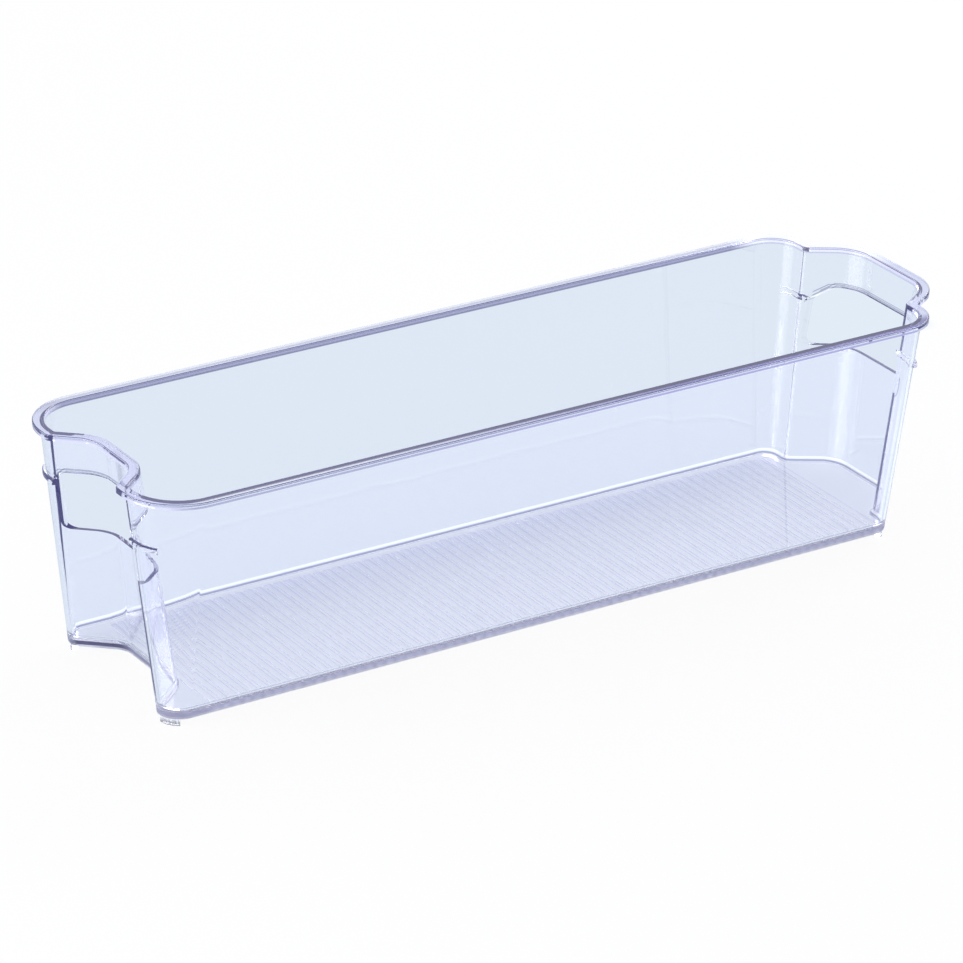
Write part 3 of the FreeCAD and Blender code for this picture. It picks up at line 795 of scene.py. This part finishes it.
def floor_with_painted_shade(finish, zones):
    """Painted shade: violet ribs at the back, a violet floor edge that is darkest under the hollow
    left end, and painted dark lines along the rounded floor edge and over the slots."""
    rib_colour = blended(finish, zones.far_ribs_painted_shade, NEAR_RIBS, FAR_RIBS_PAINTED_SHADE)
    colour = blended(finish, zones.ribs, WHITE, rib_colour)
    hollow_colour = blended(finish, zones.painted_streak, HOLLOW_EDGE_PAINTED_SHADE, PAINTED_SHADE_STREAK)
    edge_colour = blended(finish, zones.hollow_edge, FLOOR_EDGE_PAINTED_SHADE, hollow_colour)
    colour = blended(finish, zones.floor_edge, colour, edge_colour)
    colour = blended(finish, zones.painted_dark_line, colour, PAINTED_DARK_LINE)
    for line in zones.painted_slot_lines:
        colour = blended(finish, line, colour, PAINTED_SLOT_LINE)
    return colour


def rim_with_painted_shade(finish, zones, colour):
    """Painted shade on the flange: pale violet on it, and deep violet painted where it is looked
    into from the side, most of all along the right half of the near side, but not round the right
    back corner."""
    flange_colour = blended(finish, zones.overhang, FLANGE_PAINTED_SHADE, FLANGE_PALE)
    colour = blended(finish, zones.flange, colour, flange_colour)
    painted_deep_top = times(finish, zones.rim_top, zones.painted_deep_rim)
    colour = blended(finish, painted_deep_top, colour, DEEP_RIM_PAINTED_SHADE)
    inner = blended(finish, zones.between_long_sides, FLANGE_SIDE_PAINTED_SHADE, FLANGE_END_PAINTED_SHADE)
    inner = blended(finish, zones.painted_deep_rim, inner, DEEP_RIM_PAINTED_SHADE)
    inner = blended(finish, zones.clear_corner, inner, FLANGE_END_PAINTED_SHADE)
    return blended(finish, zones.inner_flange, colour, inner)


def painted_shell_glow(finish, zones):
    """Painted light, given as emission though the plastic is no lamp: a faint violet glow all over,
    a painted white highlight along the rounded floor edge and on the rim's top, stronger round the
    right back corner and left out on the deep violet part of the near rim, and painted light on the
    near part of the ribbed floor."""
    glow = blended(finish, zones.painted_white_line, PAINTED_VIOLET_GLOW, PAINTED_WHITE_LINE_HIGHLIGHT)
    glow = blended(finish, zones.painted_lit_floor, glow, PAINTED_FLOOR_LIGHT)
    painted_rim_glow = blended(finish, zones.painted_deep_rim, PAINTED_RIM_TOP_HIGHLIGHT, PAINTED_VIOLET_GLOW)
    glow = blended(finish, times(finish, zones.rim_top, zones.overhang), glow, painted_rim_glow)
    clear_top = times(finish, zones.rim_top, zones.clear_corner)
    return blended(finish, clear_top, glow, PAINTED_CLEAR_RIM_HIGHLIGHT)


def shell_plastic():
    """The shell's plastic: polished above the floor, grained under it, with painted shade in its
    colour and painted light in its emission.
    """
    finish = clear_plastic(
        "clear_violet_plastic", SHELL_TINT, SHELL_TINT_DENSITY, SHELL_WAVES, PAINTED_VIOLET_GLOW
    )
    at = surface(finish)
    zones = shell_zones(finish, at)
    grain = ramp_between(finish, at.height, *metres(GRAIN_ENDS), GRAINED, POLISHED)
    colour = rim_with_painted_shade(finish, zones, floor_with_painted_shade(finish, zones))
    gloss = finish.node_tree.nodes["Principled BSDF"]
    # Painted shade goes into the base colour and painted light into the emission.
    for name, source in (
        ("Roughness", grain), ("Base Color", colour), ("Emission Color", painted_shell_glow(finish, zones))
    ):
        finish.node_tree.links.new(source, gloss.inputs[name])
    return finish


def feet_plastic():
    """The feet's plastic: almost colourless, with a faint painted glow all over."""
    return clear_plastic(
        "clear_water_plastic", FEET_TINT, FEET_TINT_DENSITY, FEET_WAVES, PAINTED_FEET_GLOW
    )


# ---------------------------------------------------------------- the bin

shell_finish = shell_plastic()
feet_finish = feet_plastic()

shell = finished(clear_shell())
shell.data.materials.append(shell_finish)
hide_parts("bin_shell")
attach(shell, "root")

for end_name, end in (("left", -1), ("right", +1)):
    back = corner_foot(f"clear_foot_{end_name}_back", end)
    front = mirrored_copy(back, f"clear_foot_{end_name}_front")
    for foot, side_name in ((back, "back"), (front, "front")):
        finished(foot)
        foot.data.materials.append(feet_finish)
        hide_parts(f"foot_{end_name}_{side_name}")
        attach(foot, "root")


# ---------------------------------------------------------------- floor, room, lamps, camera

# What the plastic shows of the room, from the table upwards.
TABLE_BLUE = (0.68, 0.77, 0.83, 1)
PALE_BLUE = (0.66, 0.74, 0.80, 1)
BRIGHT = (1.12, 1.15, 1.2, 1)
OVERHEAD_VIOLET = (0.45, 0.45, 0.62, 1)
# How high the room changes, from 0 at eye level to 1 overhead.
ROOM_SHADES = (
    (0.02, PALE_BLUE), (0.12, PALE_BLUE), (0.25, BRIGHT), (0.6, BRIGHT), (0.9, OVERHEAD_VIOLET)
)

FLOOR_SIZE = 8
UNDER_THE_FEET = 0.1
FLOOR_MATT = (0.85, 0.85, 0.88, 1)
FLOOR_SHINE_ROUGHNESS = 0.08
FLOOR_IOR = 1.45
FLOOR_OWN_LIGHT = 0.92

# The bin's pale shadow, painted on the floor: a small soft patch off the right back corner, given
# by where it starts and is full, and where it ends and is still full, in millimetres.
PAINTED_SHADOW_BLUE = (0.74, 0.83, 0.92, 1)
SHADE_ALONG = ((215, 240), (300, 292))
SHADE_ACROSS = ((118, 130), (200, 178))


def painted_shadow_beside_the_bin(finish):
    """1 on the patch of floor where the bin's pale shadow is painted."""
    _, along, across, _ = place_of(finish)
    return times(finish, *(
        ramp_between(finish, source, *metres(zone))
        for source, zones in ((along, SHADE_ALONG), (across, SHADE_ACROSS)) for zone in zones
    ))


def mixed(finish, share, first, second):
    """One shader that turns into another as a share goes from 0 to 1."""
    mix = finish.node_tree.nodes.new("ShaderNodeMixShader")
    if isinstance(share, float):
        mix.inputs[0].default_value = share
    else:
        finish.node_tree.links.new(share, mix.inputs[0])
    for socket, shader in zip(mix.inputs[1:], (first, second)):
        finish.node_tree.links.new(shader.outputs[0], socket)
    return mix


def pale_floor():
    """A pale floor, white to the camera but for a painted pale shadow off the bin's right back
    corner, that shows pale blue and a soft shine in the plastic.
    """
    bpy.ops.object.select_all(action="DESELECT")
    bpy.ops.mesh.primitive_plane_add(size=FLOOR_SIZE, location=(0, 0, -UNDER_THE_FEET * MM))
    ground = bpy.context.object
    ground.name = "pale_floor"
    finish = bpy.data.materials.new("pale_floor")
    finish.use_nodes = True
    parts, links = finish.node_tree.nodes, finish.node_tree.links
    parts.remove(parts["Principled BSDF"])
    white = parts.new("ShaderNodeEmission")
    # Painted shadow: the floor's white turns pale blue on the patch off the bin's right back
    # corner.
    shade = blended(finish, painted_shadow_beside_the_bin(finish), WHITE, PAINTED_SHADOW_BLUE)
    links.new(shade, white.inputs["Color"])
    blue = parts.new("ShaderNodeEmission")
    blue.inputs["Color"].default_value = TABLE_BLUE
    shine = parts.new("ShaderNodeBsdfGlossy")
    shine.inputs["Roughness"].default_value = FLOOR_SHINE_ROUGHNESS
    grazing = parts.new("ShaderNodeFresnel")
    grazing.inputs["IOR"].default_value = FLOOR_IOR
    matt = parts.new("ShaderNodeBsdfDiffuse")
    matt.inputs["Color"].default_value = FLOOR_MATT
    to_camera = parts.new("ShaderNodeLightPath").outputs["Is Camera Ray"]
    polished = mixed(finish, grazing.outputs[0], blue, shine)
    own_light = mixed(finish, to_camera, polished, white)
    shaded = mixed(finish, FLOOR_OWN_LIGHT, matt, own_light)
    links.new(shaded.outputs[0], parts["Material Output"].inputs["Surface"])
    ground.data.materials.append(finish)


def surroundings():
    """White to the camera; through the plastic, pale blue low down, white all round, violet
    overhead."""
    studio = bpy.data.worlds.new("studio")
    scene.world = studio
    studio.use_nodes = True
    parts, links = studio.node_tree.nodes, studio.node_tree.links
    split = parts.new("ShaderNodeSeparateXYZ")
    links.new(parts.new("ShaderNodeTexCoord").outputs["Generated"], split.inputs[0])
    shades = parts.new("ShaderNodeValToRGB")
    lowest, *middle, highest = ROOM_SHADES
    ends = shades.color_ramp.elements
    ends[0].position, ends[0].color = lowest
    ends[1].position, ends[1].color = highest
    for position, colour in middle:
        ends.new(position).color = colour
    links.new(split.outputs["Z"], shades.inputs[0])
    to_camera = parts.new("ShaderNodeLightPath").outputs["Is Camera Ray"]
    seen = blended(studio, to_camera, shades.outputs["Color"], WHITE)
    links.new(seen, parts["Background"].inputs["Color"])


LAMPS_LOOK_AT = (0, 0, 0.03)
LAMP_POWER = 8


def lamp(name, at, size, power):
    """A soft rectangular lamp that looks at the middle of the bin."""
    bpy.ops.object.light_add(type="AREA", location=at)
    soft = bpy.context.object
    soft.name = name
    soft.data.shape = "RECTANGLE"
    soft.data.size, soft.data.size_y = size
    soft.data.energy = power
    away = Vector(at) - Vector(LAMPS_LOOK_AT)
    soft.rotation_euler = away.to_track_quat("Z", "Y").to_euler()


CAMERA_PLACE = (-1.02618, -1.59383, 0.9112)
CAMERA_RIGHT = Vector((0.84617, -0.53279, 0.01139))
CAMERA_UP = Vector((0.21308, 0.35785, 0.90914))
CAMERA_LENS = 203.09
CAMERA_SENSOR = 36
CAMERA_SEES_FROM, CAMERA_SEES_TO = 0.05, 50


def long_lens_camera():
    """A long lens, slightly rolled, looking down over the near left corner."""
    bpy.ops.object.camera_add(location=CAMERA_PLACE)
    camera = bpy.context.object
    camera.name = "camera"
    turn = Matrix((CAMERA_RIGHT, CAMERA_UP, CAMERA_RIGHT.cross(CAMERA_UP))).transposed()
    camera.rotation_euler = turn.to_euler()
    camera.data.sensor_width = CAMERA_SENSOR
    camera.data.lens = CAMERA_LENS
    camera.data.clip_start = CAMERA_SEES_FROM
    camera.data.clip_end = CAMERA_SEES_TO
    scene.camera = camera


# Light has to get through both walls, the floor and the rim.
LIGHT_BOUNCES = 24

pale_floor()
surroundings()
lamp("left_softbox", (-1.2, 0.18, 0.34), (1.0, 0.5), LAMP_POWER)
lamp("right_softbox", (1.3, 0.5, 1.0), (0.8, 0.8), LAMP_POWER)
long_lens_camera()
scene.cycles.max_bounces = LIGHT_BOUNCES
scene.cycles.transmission_bounces = LIGHT_BOUNCES
